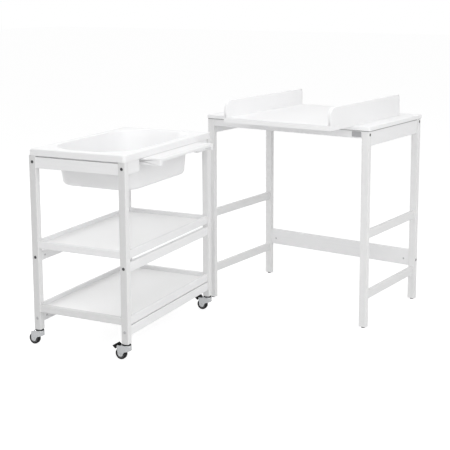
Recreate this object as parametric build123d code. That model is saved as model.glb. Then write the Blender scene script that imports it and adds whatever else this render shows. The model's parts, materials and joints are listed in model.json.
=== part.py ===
"""Baby bathing unit: a bath trolley on castors, and the changing table that it rolls under.

Both stand free on the floor. The table is the fixed one. The trolley stands in front of it, turned
towards the user, as it does in use. Lengths are in millimetres and +Z is up. The table is drawn with
the outer front left corner of its legs at zero, X to the right and Y to the back. The trolley is drawn
in a frame of its own, with the outer front left corner of its posts at zero, and is then set in place.
At the end everything moves so that the origin is on the floor, under the middle of the whole unit.
"""
import os

from build123d import *

# Fits and small roundings, shared by both pieces
slide_clearance = 0.05
panel_clearance = 0.2
edge_round = 2.0
overrun = 5.0

# Changing table
table_width = 870.0
table_depth = 550.0
leg_width = 36.0
leg_depth = 23.0
leg_top = 902.0
glide_height = 5.0
glide_radius = 9.0
glide_pin_radius = 2.0
glide_pin_length = 14.0
top_thickness = 18.0
top_overhang = 6.0
top_corner_radius = 12.0
table_board = 17.0
front_apron_height = 36.0
deep_apron_height = 72.0
side_rail_height = 39.0
upper_side_rail_bottom = 410.0
lower_side_rail_bottom = 129.0
stretcher_bottom = 169.0
stretcher_height = 80.0
front_fixing_share = 0.5
apron_fixing_share = 0.78
stretcher_fixing_share = 0.38
badge_width = 46.0
badge_height = 24.0
badge_thickness = 1.5
badge_from_right = 4.0
badge_corner_radius = 3.0

# Changing tray, which lies loose on the table top
tray_width = 554.0
tray_depth = 684.0
tray_from_left = 240.0
tray_reach = 210.0
tray_panel_thickness = 22.0
guard_thickness = 16.0
guard_height = 78.0
guard_front_radius = 34.0
guard_back_radius = 20.0
guard_screw_shares = (0.12, 0.5, 0.88)
screw_radius = 2.0
screw_head_radius = 4.2
screw_head_height = 2.6
screw_bite = 24.0

# Trolley frame
trolley_length = 766.0
trolley_width = 472.0
trolley_x = 244.0
trolley_y = -914.0
trolley_turn = 98.7
post_length = 29.0
post_width = 32.0
post_bottom = 71.0
post_top = 832.0
trolley_board = 20.0
end_board_inset = 2.0
end_rail_height = 48.0
end_rail_drop = 6.0
apron_height = 54.0
apron_rise = 24.0
long_rail_height = 40.0
mid_rail_bottom = 371.0
low_rail_bottom = 101.0
cut_out_from_end = 126.0
cut_out_corner_radius = 10.0
cut_out_above_posts = 1.0

# Shelves
shelf_bottoms = {"upper": 431.0, "lower": 150.0}
shelf_rail_height = 31.0
shelf_panel_thickness = 7.0
shelf_sink = 18.0
groove_depth = 7.0
lip_height = 36.0
lip_thickness = 12.0
lip_inset = 8.0
lip_groove_depth = 5.0

# Tub
tub_wall = 3.5
rim_overhang = 0.5
rim_height = 29.0
rim_corner_radius = 14.0
rim_edge_round = 5.0
rim_shelf = 42.0
basin_top_radius_share = 0.34
basin_depth = 175.0
basin_end_slope = 85.0
basin_side_slope = 7.0
basin_bottom_radius_share = 0.17
basin_bottom_round = 15.0
basin_lip_round = 3.0

# Folding side shelf
fold_reach = 102.0
fold_side_gap = 16.0
fold_top_gap = 0.5
batten_width = 20.0
batten_height = 27.0
batten_front_radius = 8.0
fold_pin_radius = 4.0
fold_pin_bite = 13.0
front_bar_depth = 28.0
front_bar_height = 12.0
fold_panel_thickness = 6.0
fold_panel_drop = 0.6
fold_panel_back_gap = 4.0

# Castors
wheel_radius = 25.0
wheel_width = 17.0
wheel_round = 4.0
hub_radius = 15.0
hub_dish = 2.5
trail = 26.0
axle_radius = 3.0
axle_head = 1.5
stem_radius = 5.0
stem_length = 38.0
collar_radius = 15.0
collar_height = 4.0
swivel_gap = 0.3
fork_head_radius = 20.0
fork_head_height = 4.0
fork_gap = 1.2
fork_sheet = 1.8
fork_foot_radius = 8.5
fork_brow_radius = 6.5
fork_brow_height = 54.5
fork_lean = 3.0
pedal_pin_radius = 2.0
pedal_pin_back = 36.0
pedal_pin_height = 55.0
pedal_boss_radius = 4.0
pedal_side_gap = 0.4
pedal_tip_width = 23.0
pedal_wide_from = 9.0

# Bolts with a socket head, and the barrel nuts that they draw up
bolt_radius = 3.0
bolt_hole_radius = 3.3
bolt_head_radius = 6.5
bolt_head_height = 3.0
bolt_socket_radius = 2.6
bolt_socket_depth = 2.0
counterbore_clearance = 0.5
nut_radius = 5.0
nut_length = 14.0
nut_in_board = 28.0
bolt_past_nut = 8.0
nut_hole_wall = 2.5

# Corners of the brake pedal's outline: back from its pin, up from its pin, and radius
pedal_corners = ((-4.5, 5.5, 2.0), (4.0, 13.0, 2.0), (24.5, 1.0, 1.5), (13.5, -8.0, 2.0))

# Level of the side shelf's hinge, which lets the raised battens lie just under the rim
fold_pin_height = post_top - fold_top_gap - batten_height / 2

LOW = (Align.MIN, Align.MIN, Align.MIN)
ON_AXIS = (Align.CENTER, Align.CENTER, Align.MIN)


def block(x, y, z):
    """Plain block from the low to the high end in x, y and z."""
    return Pos(x[0], y[0], z[0]) * Box(x[1] - x[0], y[1] - y[0], z[1] - z[0], align=LOW)


def board(x, y, z, grain):
    """Planed board whose four long edges, those along the grain, are rounded."""
    timber = block(x, y, z)
    return fillet(timber.edges().filter_by(grain), edge_round)


def rod(radius, start, end):
    """Round bar on the X axis."""
    return Pos(start, 0, 0) * Rot(0, 90, 0) * Cylinder(radius, end - start, align=ON_AXIS)


def across(radius, start, end):
    """Round bar on the Y axis."""
    return Pos(0, start, 0) * Rot(-90, 0, 0) * Cylinder(radius, end - start, align=ON_AXIS)


def upright(radius, start, end):
    """Round bar on the Z axis."""
    return Pos(0, 0, start) * Cylinder(radius, end - start, align=ON_AXIS)


def rounded_slab(length, width, radius, bottom, height):
    """Slab with round corners in plan, centred on the Z axis."""
    return Pos(0, 0, bottom) * extrude(RectangleRounded(length, width, radius), height)


class Fixing:
    """One bolt through a leg or a post into the end of a board, with the barrel nut in that board.

    It is drawn with the bolt's head at zero and the shank along +X. The barrel nut goes in from the
    board's inner face, which lies towards +Y. The fixing is mirrored by turning it half round, so
    inner_side says on which side of the turned bolt that face is.
    """

    def __init__(self, x, y, z, turned, inner_side, upright_width, board_thickness):
        self.place = Pos(x, y, z) * Rot(0, 0, 180 if turned else 0)
        self.side = -inner_side if turned else inner_side
        self.nut_at = upright_width + nut_in_board
        self.reach = self.nut_at + bolt_past_nut
        self.board_thickness = board_thickness

    def bolt(self):
        head = rod(bolt_head_radius, 0, bolt_head_height)
        shank = rod(bolt_radius, 0, self.reach)
        socket = rod(bolt_socket_radius, 0, bolt_socket_depth)
        return self.place * (head + shank - socket)

    def bolt_hole(self):
        """What the bolt needs cut out of the leg or post and of the board."""
        seat = rod(bolt_head_radius + counterbore_clearance, -overrun, bolt_head_height)
        return self.place * (seat + rod(bolt_hole_radius, 0, self.reach + bolt_hole_radius))

    def nut_span(self):
        face = self.board_thickness / 2
        return face - nut_hole_wall - nut_length, face - nut_hole_wall

    def nut(self):
        low, high = self.nut_span()
        body = Pos(self.nut_at, 0, 0) * across(nut_radius, low, high)
        body -= rod(bolt_radius + slide_clearance, 0, self.reach + overrun)
        return self.place * (body if self.side > 0 else mirror(body, Plane.XZ))

    def nut_hole(self):
        low = self.nut_span()[0]
        hole = across(nut_radius + slide_clearance, low, self.board_thickness / 2 + overrun)
        hole = Pos(self.nut_at, 0, 0) * hole
        return self.place * (hole if self.side > 0 else mirror(hole, Plane.XZ))


def bored(timber, fixings, with_nuts):
    """Timber with the holes for its bolts and, in a board, for their barrel nuts."""
    for fixing in fixings:
        timber -= fixing.bolt_hole()
        if with_nuts:
            timber -= fixing.nut_hole()
    return timber


def changing_table():
    """Pieces of the table, by node name."""
    leg_mid = leg_depth / 2
    back_mid = table_depth - leg_mid
    inside = (leg_width, table_width - leg_width)
    front_board = (leg_mid - table_board / 2, leg_mid + table_board / 2)
    back_board = (back_mid - table_board / 2, back_mid + table_board / 2)
    heights = {
        "front_apron": (leg_top - front_apron_height, leg_top, front_fixing_share),
        "back_apron": (leg_top - deep_apron_height, leg_top, apron_fixing_share),
        "back_stretcher": (stretcher_bottom, stretcher_bottom + stretcher_height, stretcher_fixing_share),
    }
    nodes = {}
    fixings = {"front": [], "back": []}
    rows = {"front": (leg_mid, front_board, 1), "back": (back_mid, back_board, -1)}
    for name, (low, high, share) in heights.items():
        row = name.split("_")[0]
        middle, span, inner_side = rows[row]
        level = low + (high - low) * share
        pair = [
            Fixing(0, middle, level, False, inner_side, leg_width, table_board),
            Fixing(table_width, middle, level, True, inner_side, leg_width, table_board),
        ]
        fixings[row] += pair
        plank = board(inside, span, (low, high), Axis.X)
        nodes[f"table_{name}"] = bored(plank, pair, True)

    glides = []
    leg_rows = {"front": (0, leg_depth), "back": (table_depth - leg_depth, table_depth)}
    for row, (low, high) in leg_rows.items():
        for side, left in {"left": 0, "right": table_width - leg_width}.items():
            leg = board((left, left + leg_width), (low, high), (glide_height, leg_top), Axis.Z)
            foot = Pos(left + leg_width / 2, (low + high) / 2, 0)
            leg -= foot * upright(glide_pin_radius + slide_clearance, 0, glide_height + glide_pin_length)
            glide = upright(glide_radius, 0, glide_height)
            glide += upright(glide_pin_radius, 0, glide_height + glide_pin_length - edge_round)
            glides.append(foot * glide)
            nodes[f"table_leg_{row}_{side}"] = bored(leg, fixings[row], False)

    between = (leg_depth, table_depth - leg_depth)
    side_boards = {
        "apron": (leg_top - deep_apron_height, leg_top),
        "upper_rail": (upper_side_rail_bottom, upper_side_rail_bottom + side_rail_height),
        "lower_rail": (lower_side_rail_bottom, lower_side_rail_bottom + side_rail_height),
    }
    for side, middle in {"left": leg_width / 2, "right": table_width - leg_width / 2}.items():
        for name, span in side_boards.items():
            across_x = (middle - table_board / 2, middle + table_board / 2)
            nodes[f"table_{side}_{name}"] = board(across_x, between, span, Axis.Y)

    over = (table_width + top_overhang * 2, table_depth + top_overhang * 2)
    top = rounded_slab(*over, top_corner_radius, leg_top, top_thickness)
    top = fillet(top.faces().sort_by(Axis.Z)[-1].edges(), edge_round)
    top = fillet(top.faces().sort_by(Axis.Z)[0].edges(), edge_round)
    nodes["table_top"] = Pos(table_width / 2, table_depth / 2, 0) * top
    badge = extrude(RectangleRounded(badge_width, badge_height, badge_corner_radius), badge_thickness)
    badge = fillet(badge.faces().sort_by(Axis.Z)[-1].edges(), badge_thickness / 3)
    badge_x = table_width - leg_width - badge_from_right - badge_width / 2
    badge_z = leg_top - front_apron_height * front_fixing_share
    nodes["blank_badge"] = Pos(badge_x, front_board[0], badge_z) * Rot(90, 0, 0) * badge
    every = fixings["front"] + fixings["back"]
    nodes["table_bolts"] = Compound([fixing.bolt() for fixing in every])
    nodes["table_barrel_nuts"] = Compound([fixing.nut() for fixing in every])
    nodes["table_glides"] = Compound(glides)
    return nodes


def changing_tray():
    """Panel and two side guards, drawn where they lie on the table top."""
    bottom = leg_top + top_thickness
    foot = bottom + tray_panel_thickness
    left = tray_from_left
    right = tray_from_left + tray_width
    front = -tray_reach
    back = tray_depth - tray_reach
    panel = block((left, right), (front, back), (bottom, foot))
    panel = fillet(panel.edges().filter_by(Axis.Z), edge_round)
    screws = []
    guards = {}
    for name, low in {"left_guard": left, "right_guard": right - guard_thickness}.items():
        outline = Pos(front + tray_depth / 2, foot + guard_height / 2) * Rectangle(tray_depth, guard_height)
        outline = fillet(outline.vertices().sort_by(Axis.Y)[-2:].sort_by(Axis.X)[0], guard_front_radius)
        outline = fillet(outline.vertices().sort_by(Axis.Y)[-2:].sort_by(Axis.X)[-1], guard_back_radius)
        guard = Pos(low, 0, 0) * extrude(Plane.YZ * outline, guard_thickness)
        for share in guard_screw_shares:
            seat = Pos(low + guard_thickness / 2, front + tray_depth * share, bottom)
            shank = upright(screw_radius, 0, tray_panel_thickness + screw_bite)
            head = Cone(screw_head_radius, screw_radius, screw_head_height, align=ON_AXIS)
            screws.append(seat * (shank + head))
            deep = tray_panel_thickness + screw_bite + slide_clearance
            hole = upright(screw_radius + slide_clearance, 0, deep)
            wide = screw_head_radius + slide_clearance
            sink = Cone(wide, screw_radius + slide_clearance, screw_head_height, align=ON_AXIS)
            panel -= seat * (hole + sink)
            guard -= seat * hole
        guards[name] = guard
    return {"changing_panel": panel, **guards, "guard_screws": Compound(screws)}


def trolley_frame():
    """Posts, rails, aprons, shelves and fasteners of the trolley, in its own frame."""
    post_mid = post_width / 2
    back_mid = trolley_width - post_mid
    between_posts = (post_length, trolley_length - post_length)
    sides = {"front": (post_mid, 1), "back": (back_mid, -1)}
    apron_bottom = post_top - apron_height
    levels = {"apron": (apron_bottom, post_top + apron_rise, apron_bottom + apron_height / 2)}
    for name, low in {"mid_rail": mid_rail_bottom, "low_rail": low_rail_bottom}.items():
        levels[name] = (low, low + long_rail_height, low + long_rail_height / 2)
    nodes = {}
    fixings = {"front": [], "back": []}
    for side, (middle, inner_side) in sides.items():
        for name, (low, high, level) in levels.items():
            pair = [
                Fixing(0, middle, level, False, inner_side, post_length, trolley_board),
                Fixing(trolley_length, middle, level, True, inner_side, post_length, trolley_board),
            ]
            fixings[side] += pair
            span = (middle - trolley_board / 2, middle + trolley_board / 2)
            if side == "front" and name == "apron":
                plank = front_apron(span, low, high)
            else:
                plank = board(between_posts, span, (low, high), Axis.X)
            nodes[f"trolley_{side}_{name}"] = bored(plank, pair, True)

    stems = []
    stem_hole = upright(stem_radius + slide_clearance, post_bottom, post_bottom + stem_length + overrun)
    for side, (middle, inner_side) in sides.items():
        for end, left in {"left": 0, "right": trolley_length - post_length}.items():
            span = (middle - post_width / 2, middle + post_width / 2)
            post = board((left, left + post_length), span, (post_bottom, post_top), Axis.Z)
            foot = Pos(left + post_length / 2, middle, 0)
            nodes[f"trolley_post_{side}_{end}"] = bored(post - foot * stem_hole, fixings[side], False)
            stems.append(foot * castor_stem())

    across_y = (post_width, trolley_width - post_width)
    thick = (end_board_inset, end_board_inset + trolley_board)
    ends = {"left": thick, "right": (trolley_length - thick[1], trolley_length - thick[0])}
    rail_top = post_top - end_rail_drop
    rail_span = (rail_top - end_rail_height, rail_top)
    for end, span in ends.items():
        nodes[f"trolley_{end}_end_rail"] = board(span, across_y, rail_span, Axis.Y)
    for shelf, bottom in shelf_bottoms.items():
        nodes.update(shelf_pieces(shelf, bottom, ends, across_y))

    every = fixings["front"] + fixings["back"]
    nodes["trolley_bolts"] = Compound([fixing.bolt() for fixing in every])
    nodes["trolley_barrel_nuts"] = Compound([fixing.nut() for fixing in every])
    nodes["castor_stems"] = Compound(stems)
    for end, turned in {"left": False, "right": True}.items():
        nodes["trolley_front_apron"] -= fold_pin(turned, slide_clearance)
    nodes["side_shelf_pins"] = Compound([fold_pin(False, 0), fold_pin(True, 0)])
    return nodes


def front_apron(span, low, high):
    """Apron with a wide gap for the folding shelf, open at the bottom and round at its corners."""
    gap_width = trolley_length - cut_out_from_end * 2
    gap_height = post_top + cut_out_above_posts - low
    outline = Rectangle(trolley_length - post_length * 2, high - low)
    outline -= Pos(0, (gap_height - high + low) / 2) * Rectangle(gap_width, gap_height)
    inside = trolley_length / 2 - post_length * 2
    corners = outline.vertices().filter_by(lambda corner: abs(corner.X) < inside)
    outline = fillet(corners, cut_out_corner_radius)
    apron = extrude(Plane.XZ * outline, span[1] - span[0])
    faces = apron.faces().sort_by(Axis.Y)
    apron = fillet(faces[0].edges() + faces[-1].edges(), edge_round)
    return Pos(trolley_length / 2, span[1], (low + high) / 2) * apron


def shelf_pieces(shelf, bottom, ends, across_y):
    """One tray shelf: a thin panel sunk in grooves of two end rails and two long lips."""
    top = bottom + shelf_rail_height
    panel_top = top - shelf_sink
    inner = ends["left"][1]
    lips = {
        "front": (lip_inset, lip_inset + lip_thickness),
        "back": (trolley_width - lip_inset - lip_thickness, trolley_width - lip_inset),
    }
    long_span = (inner - groove_depth, trolley_length - inner + groove_depth)
    short_span = (lips["front"][1] - lip_groove_depth, lips["back"][0] + lip_groove_depth)
    panel = block(long_span, short_span, (panel_top - shelf_panel_thickness, panel_top))
    groove = block(
        (long_span[0] - panel_clearance, long_span[1] + panel_clearance),
        (short_span[0] - panel_clearance, short_span[1] + panel_clearance),
        (panel_top - shelf_panel_thickness, panel_top + panel_clearance),
    )
    notch = (post_length + panel_clearance, post_width + panel_clearance)
    for left in (0, trolley_length - notch[0]):
        for front in (0, trolley_width - notch[1]):
            panel -= block((left, left + notch[0]), (front, front + notch[1]), (bottom - overrun, top))
    nodes = {f"{shelf}_shelf_panel": panel}
    for end, span in ends.items():
        nodes[f"{shelf}_shelf_{end}_rail"] = board(span, across_y, (bottom, top), Axis.Y) - groove
    between_posts = (post_length, trolley_length - post_length)
    pair = [board(between_posts, span, (top - lip_height, top), Axis.X) for span in lips.values()]
    nodes[f"{shelf}_shelf_lips"] = Compound([lip - groove for lip in pair])
    return nodes


def tub():
    """Moulded tub: a basin with round ends, under a flat rim with a skirt that stands on the posts."""
    length = trolley_length + rim_overhang * 2
    width = trolley_width + rim_overhang * 2
    top = post_top + rim_height
    under = top - tub_wall
    rim = rounded_slab(length, width, rim_corner_radius, post_top, rim_height)
    rim = fillet(rim.faces().sort_by(Axis.Z)[-1].edges(), rim_edge_round)
    inside = (length - tub_wall * 2, width - tub_wall * 2, rim_corner_radius - tub_wall)
    rim -= rounded_slab(*inside, post_top, rim_height - tub_wall)

    def basin(grow, low, high):
        """Tapered body between two heights, grown outwards by one wall or not at all."""
        sections = []
        narrowing = basin_bottom_radius_share - basin_top_radius_share
        for level in (low, high):
            share = (top - level) / basin_depth
            in_x = rim_shelf + basin_end_slope * share - grow
            in_y = rim_shelf + basin_side_slope * share - grow
            radius = trolley_width * (basin_top_radius_share + narrowing * share) + grow
            outline = RectangleRounded(length - in_x * 2, width - in_y * 2, radius)
            sections.append(Pos(0, 0, level) * outline)
        return loft(sections)

    floor = top - basin_depth
    outer = basin(tub_wall, floor, under)
    outer = fillet(outer.faces().sort_by(Axis.Z)[0].edges(), basin_bottom_round + tub_wall)
    inner = basin(0, floor + tub_wall, top)
    inner = fillet(inner.faces().sort_by(Axis.Z)[0].edges(), basin_bottom_round)
    pads = [
        block(
            (-length / 2 + rim_overhang, -length / 2 + rim_overhang + post_length),
            (-width / 2 + rim_overhang, -width / 2 + rim_overhang + post_width),
            (post_top, under),
        )
    ]
    pads += [mirror(pad, Plane.YZ) for pad in pads]
    pads += [mirror(pad, Plane.XZ) for pad in pads]
    within = rounded_slab(length, width, rim_corner_radius, post_top, rim_height)
    shell = rim + [pad & within for pad in pads] + outer - inner
    half = (length / 2 - rim_shelf / 2, width / 2 - rim_shelf / 2)
    top_edges = shell.edges().group_by(Axis.Z)[-1]
    mouth = top_edges.filter_by(lambda edge: abs(edge.center().X) < half[0])
    mouth = mouth.filter_by(lambda edge: abs(edge.center().Y) < half[1])
    shell = fillet(mouth, basin_lip_round)
    return Pos(trolley_length / 2, trolley_width / 2, 0) * shell


def fold_pin(turned, clearance):
    """Hinge pin from the apron's end into the batten, or the hole for it."""
    low = cut_out_from_end - fold_pin_bite - clearance
    high = cut_out_from_end + fold_side_gap + fold_pin_bite + clearance
    pin = Pos(0, post_width / 2, fold_pin_height) * rod(fold_pin_radius + clearance, low, high)
    return mirror(pin, Plane.YZ.offset(trolley_length / 2)) if turned else pin


def side_shelf():
    """Folding shelf, drawn raised: two battens on the hinge pins, a front bar and a thin panel."""
    left = cut_out_from_end + fold_side_gap
    right = trolley_length - left
    top = fold_pin_height + batten_height / 2
    pivot = post_width / 2
    back = pivot + batten_height / 2
    front = pivot - fold_reach
    nodes = {}
    battens = []
    for turned in (False, True):
        batten = block((left, left + batten_width), (front, back), (top - batten_height, top))
        back_edges = batten.edges().filter_by(Axis.X).sort_by(Axis.Y)[-2:]
        batten = fillet(back_edges, batten_height / 2 - edge_round / 2)
        front_edges = batten.edges().filter_by(Axis.Z).sort_by(Axis.Y)[:2]
        batten = fillet(front_edges.sort_by(Axis.X)[0], batten_front_radius)
        batten -= fold_pin(False, slide_clearance)
        battens.append(mirror(batten, Plane.YZ.offset(trolley_length / 2)) if turned else batten)
    nodes["side_shelf_battens"] = Compound(battens)
    inside = (left + batten_width, right - batten_width)
    bar_back = front + front_bar_depth
    bar = block(inside, (front, bar_back), (top - front_bar_height, top))
    nodes["side_shelf_front_bar"] = fillet(bar.edges().filter_by(Axis.X).sort_by(Axis.Y)[:2], edge_round)
    panel_top = top - fold_panel_drop
    panel_span = (bar_back, pivot - fold_panel_back_gap)
    nodes["side_shelf_panel"] = block(inside, panel_span, (panel_top - fold_panel_thickness, panel_top))
    return nodes


def castor_stem():
    """Stem and collar that stay in the post, over the swivelling fork."""
    collar_bottom = post_bottom - collar_height
    stem = upright(stem_radius, collar_bottom, post_bottom + stem_length)
    collar = upright(collar_radius, collar_bottom, post_bottom)
    return stem + fillet(collar.edges().sort_by(Axis.Z)[0], collar_height / 4)


def castor_fork(braked):
    """Pressed fork with its riveted axle, on the swivel axis, with the wheel trailing towards +Y."""
    head_top = post_bottom - collar_height - swivel_gap
    head_bottom = head_top - fork_head_height
    inner = wheel_width / 2 + fork_gap
    outer = inner + fork_sheet
    foot = (Pos(trail, wheel_radius) * Circle(fork_foot_radius)).edges()
    lean = (Pos(fork_lean, fork_brow_height) * Circle(fork_brow_radius)).edges()
    front_at = fork_brow_radius - fork_head_radius
    front = (Pos(front_at, fork_brow_height) * Circle(fork_brow_radius)).edges()
    back_at = pedal_pin_back if braked else trail
    back = (Pos(back_at, fork_brow_height) * Circle(fork_brow_radius)).edges()
    shape = make_hull(front + back) + make_hull(lean + foot + back)
    cheek = extrude(Plane.YZ * shape, fork_sheet)
    fork = Pos(inner, 0, 0) * cheek + Pos(-outer, 0, 0) * cheek
    fork += upright(fork_head_radius, head_bottom, head_top)
    fork += block((-outer, outer), (front_at, trail), (head_bottom - fork_sheet, head_bottom))
    fork += Pos(0, trail, wheel_radius) * rod(axle_radius, -outer - axle_head, outer + axle_head)
    if braked:
        pin_hole = rod(pedal_pin_radius + slide_clearance, -outer - overrun, outer + overrun)
        fork -= Pos(0, pedal_pin_back, pedal_pin_height) * pin_hole
    return fork


def castor_wheel():
    """Wheel with a rounded tread and a dished hub, bored to turn on the axle."""
    half = wheel_width / 2
    wheel = rod(wheel_radius, -half, half)
    wheel = fillet(wheel.edges().filter_by(GeomType.CIRCLE), wheel_round)
    for side in (-1, 1):
        dish = rod(hub_radius, half - hub_dish, half + overrun)
        boss = rod(axle_radius * 2, half - hub_dish, half + overrun)
        cut = dish - boss
        wheel -= cut if side > 0 else mirror(cut, Plane.YZ)
    wheel -= rod(axle_radius + slide_clearance, -half - overrun, half + overrun)
    return Pos(0, trail, wheel_radius) * wheel


def brake_pedal():
    """Wedge-shaped foot pedal on two short pins in the fork. Pressed down, its belly stops the wheel."""
    cheek = wheel_width / 2 + fork_gap
    body = cheek - pedal_side_gap
    pins = cheek + fork_sheet
    rounds = [Pos(back, up) * Circle(radius) for back, up, radius in pedal_corners]
    rounds.append(Circle(pedal_boss_radius))
    outline = Plane.YZ * make_hull([edge for circle in rounds for edge in circle.edges()])
    reach = max(back + radius for back, up, radius in pedal_corners)
    rise = max(abs(up) + radius for back, up, radius in pedal_corners)
    half = pedal_tip_width / 2
    pedal = Pos(-body, 0, 0) * extrude(outline, body * 2)
    wide = Pos(-half, 0, 0) * extrude(outline, pedal_tip_width)
    pedal += wide & block((-half, half), (pedal_wide_from, reach), (-rise, rise))
    pedal += rod(pedal_pin_radius, -pins, pins)
    return Pos(0, pedal_pin_back, pedal_pin_height) * pedal


def castors():
    """Forks, wheels and pedals at the four posts. Only the two front castors have a brake."""
    nodes = {}
    for side, middle in {"front": post_width / 2, "back": trolley_width - post_width / 2}.items():
        for end, left in {"left": post_length / 2, "right": trolley_length - post_length / 2}.items():
            foot = Pos(left, middle, 0)
            braked = side == "front"
            nodes[f"castor_fork_{side}_{end}"] = foot * castor_fork(braked)
            nodes[f"castor_wheel_{side}_{end}"] = foot * castor_wheel()
            if braked:
                nodes[f"brake_pedal_{side}_{end}"] = foot * brake_pedal()
    return nodes


trolley_place = Pos(trolley_x, trolley_y, 0) * Rot(0, 0, trolley_turn)
trolley_nodes = {**trolley_frame(), "tub": tub(), **side_shelf(), **castors()}
nodes = {**changing_table(), **changing_tray()}
nodes.update({name: trolley_place * piece for name, piece in trolley_nodes.items()})
reach = Compound([solid for piece in nodes.values() for solid in piece.solids()]).bounding_box()
centre = Pos(-(reach.min.X + reach.max.X) / 2, -(reach.min.Y + reach.max.Y) / 2, 0)

os.makedirs("parts", exist_ok=True)
for name, piece in nodes.items():
    export_step(centre * piece, f"parts/{name}.step")
print(len(nodes), "nodes; size", reach.size)
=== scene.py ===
"""Looks of the baby bathing unit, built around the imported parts.

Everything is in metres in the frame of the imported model. The table stands along the X and Y axes. The
trolley has axes of its own: along its length, across its width and up, and trolley() turns points given
in those into the model's frame. A new piece is a surface worked out as whole arrays.
"""

import json
import math

import bmesh
import bpy
import numpy as np
from mathutils import Matrix, Vector


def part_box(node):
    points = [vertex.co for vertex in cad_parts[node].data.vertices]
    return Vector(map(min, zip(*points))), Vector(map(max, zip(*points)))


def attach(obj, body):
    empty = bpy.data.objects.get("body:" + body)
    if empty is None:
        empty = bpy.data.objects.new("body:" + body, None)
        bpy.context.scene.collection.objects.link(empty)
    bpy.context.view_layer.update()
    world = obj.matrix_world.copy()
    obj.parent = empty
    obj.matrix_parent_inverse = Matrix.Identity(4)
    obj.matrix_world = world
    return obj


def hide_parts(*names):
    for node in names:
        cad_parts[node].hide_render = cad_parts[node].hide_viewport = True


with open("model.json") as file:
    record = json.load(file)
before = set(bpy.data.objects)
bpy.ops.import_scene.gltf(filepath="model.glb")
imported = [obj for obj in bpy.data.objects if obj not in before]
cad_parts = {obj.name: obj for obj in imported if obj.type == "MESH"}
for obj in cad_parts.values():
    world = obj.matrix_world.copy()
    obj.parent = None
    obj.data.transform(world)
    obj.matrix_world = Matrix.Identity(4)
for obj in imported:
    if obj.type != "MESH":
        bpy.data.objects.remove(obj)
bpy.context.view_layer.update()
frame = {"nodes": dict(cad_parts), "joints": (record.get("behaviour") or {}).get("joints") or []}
nodes = frame["nodes"]
joints = {joint["name"]: joint for joint in frame["joints"]}

# Sizes that the looks share with the solids, in metres
TABLE = (0.870, 0.550)
LEG_DEPTH = 0.023
LEG_TOP = 0.902
TROLLEY = (0.766, 0.472)
POST = (0.029, 0.032)
POST_TOP = 0.832
RIM_TOP = 0.861
TUB_WALL = 0.0035

# The castor: how far its axle trails the swivel, its wheel, its fork, the fork's sheet, and where the pin
# of its brake pedal sits
TRAIL = 0.026
WHEEL_RADIUS = 0.025
FOOT_RADIUS = 0.0125
FOOT_NEAR, FOOT_FAR = TRAIL - FOOT_RADIUS, TRAIL + FOOT_RADIUS
FORK_HALF = 0.0115
CROWN = 0.0628
SHEET = 0.0016
PIN_BACK, PIN_UP = 0.036, 0.055

# The trolley's own axes, and where its posts stand
CORNERS = {
    "front_left": (POST[0] / 2, POST[1] / 2),
    "front_right": (TROLLEY[0] - POST[0] / 2, POST[1] / 2),
    "back_left": (POST[0] / 2, TROLLEY[1] - POST[1] / 2),
    "back_right": (TROLLEY[0] - POST[0] / 2, TROLLEY[1] - POST[1] / 2),
}
LONG = np.array(joints["spin_front_left"]["axis"], float)
LONG /= np.linalg.norm(LONG)
WIDE = np.array([-LONG[1], LONG[0], 0.0])
UP = np.array([0.0, 0.0, 1.0])
first_post = np.array(joints["swivel_front_left"]["pos_m"], float) * [1, 1, 0]
TROLLEY_ORIGIN = first_post - LONG * POST[0] / 2 - WIDE * POST[1] / 2
TROLLEY_TURN = math.atan2(LONG[1], LONG[0])

# Points nearer than this are one
WELD = 1e-6


def trolley(points):
    """Points given along, across and up the trolley, turned into the model's frame."""
    points = np.asarray(points, float)
    return TROLLEY_ORIGIN + points @ np.stack([LONG, WIDE, UP])


def trolley_middle(points):
    """Points given from the middle of the trolley, turned into the model's frame."""
    return trolley(points + np.array([TROLLEY[0] / 2, TROLLEY[1] / 2, 0.0]))


def table(points):
    """Points given from the foot of the table's front left leg, moved into the model's frame."""
    return points + np.array(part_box("table_leg_front_left")[0], float) * [1, 1, 0]


def quads(rows, columns, closed):
    """Faces of a grid of rows by columns of points; closed joins the last column to the first."""
    across = np.arange(columns if closed else columns - 1)
    row, column = np.meshgrid(np.arange(rows - 1), across, indexing="ij")
    after = (column + 1) % columns
    this, following = row * columns, (row + 1) * columns
    corners = [this + column, this + after, following + after, following + column]
    return np.stack(corners, -1).reshape(-1, 4)


def rounded_loop(half_x, half_y, radius, per_corner=30, per_side=8):
    """Rectangle with round corners: four arcs, and points spaced evenly along the straight sides."""
    turns = np.linspace(0, math.pi / 2, per_corner)
    arcs = []
    for quarter, (sign_x, sign_y) in enumerate(((1, 1), (-1, 1), (-1, -1), (1, -1))):
        middle = np.array([sign_x * (half_x - radius), sign_y * (half_y - radius)])
        angle = turns + quarter * math.pi / 2
        arcs.append(middle + radius * np.stack([np.cos(angle), np.sin(angle)], 1))
    loop = []
    for index, arc in enumerate(arcs):
        start, end = arc[-1], arcs[(index + 1) % 4][0]
        share = np.linspace(0, 1, per_side + 2)[1:-1, None]
        loop += [arc, start + (end - start) * share]
    return np.concatenate(loop)


def lathe(profile, steps):
    """Points (radius, height) of the profile carried round the Z axis: (r cos a, r sin a, h)."""
    profile = np.asarray(profile, float)
    angle = np.linspace(0, 2 * math.pi, steps, endpoint=False)
    around = np.stack([np.cos(angle), np.sin(angle)], 1)
    flat = profile[:, None, :1] * around[None]
    height = np.broadcast_to(profile[:, None, 1:], (len(profile), steps, 1))
    return np.concatenate([flat, height], -1).reshape(-1, 3), quads(len(profile), steps, True)


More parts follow.
